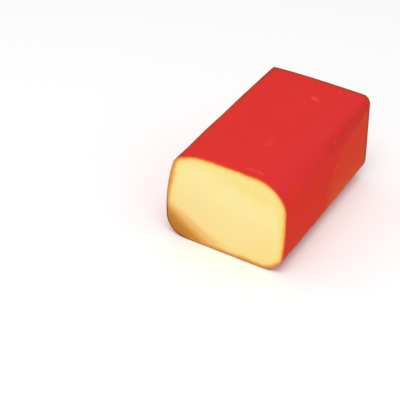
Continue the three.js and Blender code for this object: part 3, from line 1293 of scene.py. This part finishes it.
# %% [markdown]
# The dark lower left corner is partly painted shadow and partly a deeper cheese colour. It can't follow
# the distance from the rind, because its edge runs straight across the face. A painted mask could hold
# it, at one size only. Here it is a line with a slope: how far a place lies past the line picks the
# tone, and streaks drawn out along the line make it look wiped.

# %% Patterns that run in lines
STREAK_SCALE = (0.12, 1.0, 1.0)  # squeezing the places along one axis draws a pattern out along it


def stretched(recipe, turn, scale):
    """The places, turned about Y and scaled, for patterns that run in lines."""
    turned = recipe.nodes.new("ShaderNodeMapping")
    turned.inputs["Rotation"].default_value = (0, turn, 0)
    recipe.links.new(recipe.places, turned.inputs["Vector"])
    node = recipe.nodes.new("ShaderNodeMapping")
    node.inputs["Scale"].default_value = scale
    recipe.links.new(turned.outputs["Vector"], node.inputs["Vector"])
    return node.outputs["Vector"]


print(f"streaks are {1 / STREAK_SCALE[0]:.0f} times as long as wide")

# %% The dark corner, partly painted shadow
# The corner's edge is a line across the face: a point on it, and its slope down to the right.
CORNER_POINT = (-44.5, 26.4)
CORNER_SLOPE = math.radians(-29.3)
CORNER_START, CORNER_END = -9.0, 13.5  # millimetres from that line, out towards the corner
CORNER_WIDENS = 0.013  # the tones spread out by this much for every millimetre along the line
CORNER_WIDEST = 0.5  # until they change at this share of the rate
CORNER_STREAKS = 9 * MM
CORNER_FADES_IN = (0.0, 0.25)
# painted shadow mixed with a deeper cheese colour, darkest in the corner
CORNER_STOPS = [
    (0.0, srgb(242, 216, 143)), (0.27, srgb(240, 206, 130)), (0.40, srgb(232, 189, 109)),
    (0.53, srgb(231, 175, 95)), (0.67, srgb(209, 146, 56)), (0.78, srgb(191, 123, 28)),
    (1.0, srgb(184, 112, 20)),
]


# partly painted shadow, partly a deeper cheese colour
def corner_tone_and_shadow(recipe, colour):
    x, _, z = split(recipe, recipe.places)
    past_x = recipe.minus(CORNER_POINT[0] * MM, x)
    past_z = recipe.minus(CORNER_POINT[1] * MM, z)
    down, left = math.cos(CORNER_SLOPE), -math.sin(CORNER_SLOPE)
    out = recipe.plus(recipe.times(past_x, left), recipe.times(past_z, down))
    along = recipe.minus(recipe.times(past_z, left), recipe.times(past_x, down))
    closeness = recipe.minus(1.0, recipe.times(along, CORNER_WIDENS / MM))
    widened = recipe.times(out, recipe.larger(closeness, CORNER_WIDEST))
    out = recipe.maths("MINIMUM", out, widened)
    down_the_slope = stretched(recipe, CORNER_SLOPE, STREAK_SCALE)
    streaks = recipe.noise(3.6, detail=4, rough=0.6, places=down_the_slope)
    depth = recipe.minus(recipe.plus(out, recipe.sway(streaks, CORNER_STREAKS)), CORNER_START * MM)
    share = recipe.maths("DIVIDE", depth, (CORNER_END - CORNER_START) * MM)
    tone = recipe.ramp(share, CORNER_STOPS)
    return recipe.mix(recipe.spread(share, *CORNER_FADES_IN), colour, tone)


print("corner tone starts", CORNER_POINT, "and slopes down to the right")

# %% The brown edge, partly painted shade
BROWN_EDGE_SPREAD = (0.04, 0.20, 0.85, 0.0)  # by the share of the way in from the rind


def brown_edge_and_shade(recipe, share, colour):
    """On the left and below, also in the corner, the last millimetres before the wax are brown, partly
    painted shade.
    """
    x, _, z = split(recipe, recipe.places)
    near = recipe.times(recipe.spread(share, *BROWN_EDGE_SPREAD), left_and_bottom(recipe, x, z))
    return recipe.mix(near, colour, PASTE_BROWN_AND_SHADE, "DARKEN")


print(f"the dried edge is up to {BROWN_EDGE_SPREAD[1] * RIND_REACH[2]:.0f} mm wide")

# %% [markdown]
# Last come the marks that the eye looks for: painted highlights, most of them on the rims of the eyes,
# and painted shade along one line that the blade dragged. A few listed one by one look less even than
# any pattern would.

# %% Painted highlights and the drag line's painted shade
# Each painted highlight: where it is across and up, how far it reaches, and its strength.
PAINTED_HIGHLIGHTS = [
    (-10.6, 67.7, 1.0, 0.35), (19.4, 68.8, 1.2, 0.55), (33.0, 65.9, 1.0, 0.45),
    (31.0, 68.6, 0.8, 0.40), (24.0, 44.0, 0.8, 0.20), (-27.5, 50.0, 0.8, 0.20),
]
ON_THE_FACE = -81  # along Y, in millimetres, at the cut
THROUGH_THE_FACE = 4  # how far a spot reaches along Y, so that relief doesn't cut it off
LINE_PLACE = (19.0, ON_THE_FACE, 32.9)
LINE_REACH = (12, THROUGH_THE_FACE, 1.6)
LINE_TURN = (0, -12, 0)  # degrees
LINE_STRENGTH = 0.25


def painted_highlights(recipe, edge_noise):
    """Painted highlights: small pale spots, most of them on the rims of the eyes near the top."""
    return strongest(recipe, [
        spot(recipe, (x, ON_THE_FACE, z), (reach, THROUGH_THE_FACE, reach), edge_noise, strength)
        for x, z, reach, strength in PAINTED_HIGHLIGHTS
    ])


def drag_line_shade(recipe, edge_noise):
    """Painted shade: a deeper yellow along one long mark where something hard rode down on the blade.
    """
    return spot(recipe, LINE_PLACE, LINE_REACH, edge_noise, LINE_STRENGTH, LINE_TURN)


print(len(PAINTED_HIGHLIGHTS), "flecks and a drag line on the cut")

# %% Cheese finish
SPECKS = (0.66, 0.78, 0.0, 0.45)
PASTE_ROUGHNESS = (0.3, 0.7, 0.40, 0.55)
LINE_SCALE = (0.06, 1.0, 1.0)  # the blade's lines are about seventeen times as long as wide
PASTE_LINES = 0.05  # how high the lines look, in millimetres
PASTE_GRAIN = 0.02
PASTE_SPECULAR = 0.30
PASTE_LETS_IN = 0.25
PASTE_RED_GREEN_BLUE = (1.0, 0.7, 0.25)
PASTE_DEPTH = 2.5  # millimetres


def make_paste():
    recipe = Recipe("cut_cheese")
    share, colour = paste_colour(recipe)
    specks = recipe.spread(recipe.noise(1.1, detail=2), *SPECKS)
    colour = recipe.mix(specks, colour, PASTE_SPECK_AND_HIGHLIGHT)
    colour = brown_edge_and_shade(recipe, share, corner_tone_and_shadow(recipe, colour))
    uneven = recipe.noise(1.2)
    # painted shade along the drag mark
    colour = recipe.mix(drag_line_shade(recipe, uneven), colour, PASTE_YELLOW)
    # painted highlights
    colour = recipe.mix(painted_highlights(recipe, uneven), colour, PASTE_SPECK_AND_HIGHLIGHT)
    recipe.put(colour, recipe.shader.inputs["Base Color"])
    rough = recipe.spread(recipe.noise(12, detail=4, rough=0.6), *PASTE_ROUGHNESS)
    recipe.put(rough, recipe.shader.inputs["Roughness"])
    lines = recipe.noise(1.3, rough=0.6, places=stretched(recipe, BLADE_DIRECTION, LINE_SCALE))
    line_bump = bump(recipe, lines, PASTE_LINES)
    grain = bump(recipe, recipe.noise(0.55, rough=0.6), PASTE_GRAIN, line_bump)
    recipe.put(grain, recipe.shader.inputs["Normal"])
    recipe.shader.inputs["Specular IOR Level"].default_value = PASTE_SPECULAR
    let_light_in(recipe, PASTE_LETS_IN, PASTE_RED_GREEN_BLUE, PASTE_DEPTH)
    return recipe.material


cheese.data.materials.append(make_paste())
print("cheese_paste has", cheese.data.materials[0].name)

# %% [markdown]
# ## Join the looks to the frame
#
# Both layers move with the one body and together stand for the frame's plain block. They could be
# one mesh with two materials, but as two closed pieces each stays a clean solid of its own.

# %% Ride and replace
for piece, slot in ((wax, "wax_rind"), (cheese, "cheese_paste")):
    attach(piece, "root")
    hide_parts("cheese_block")
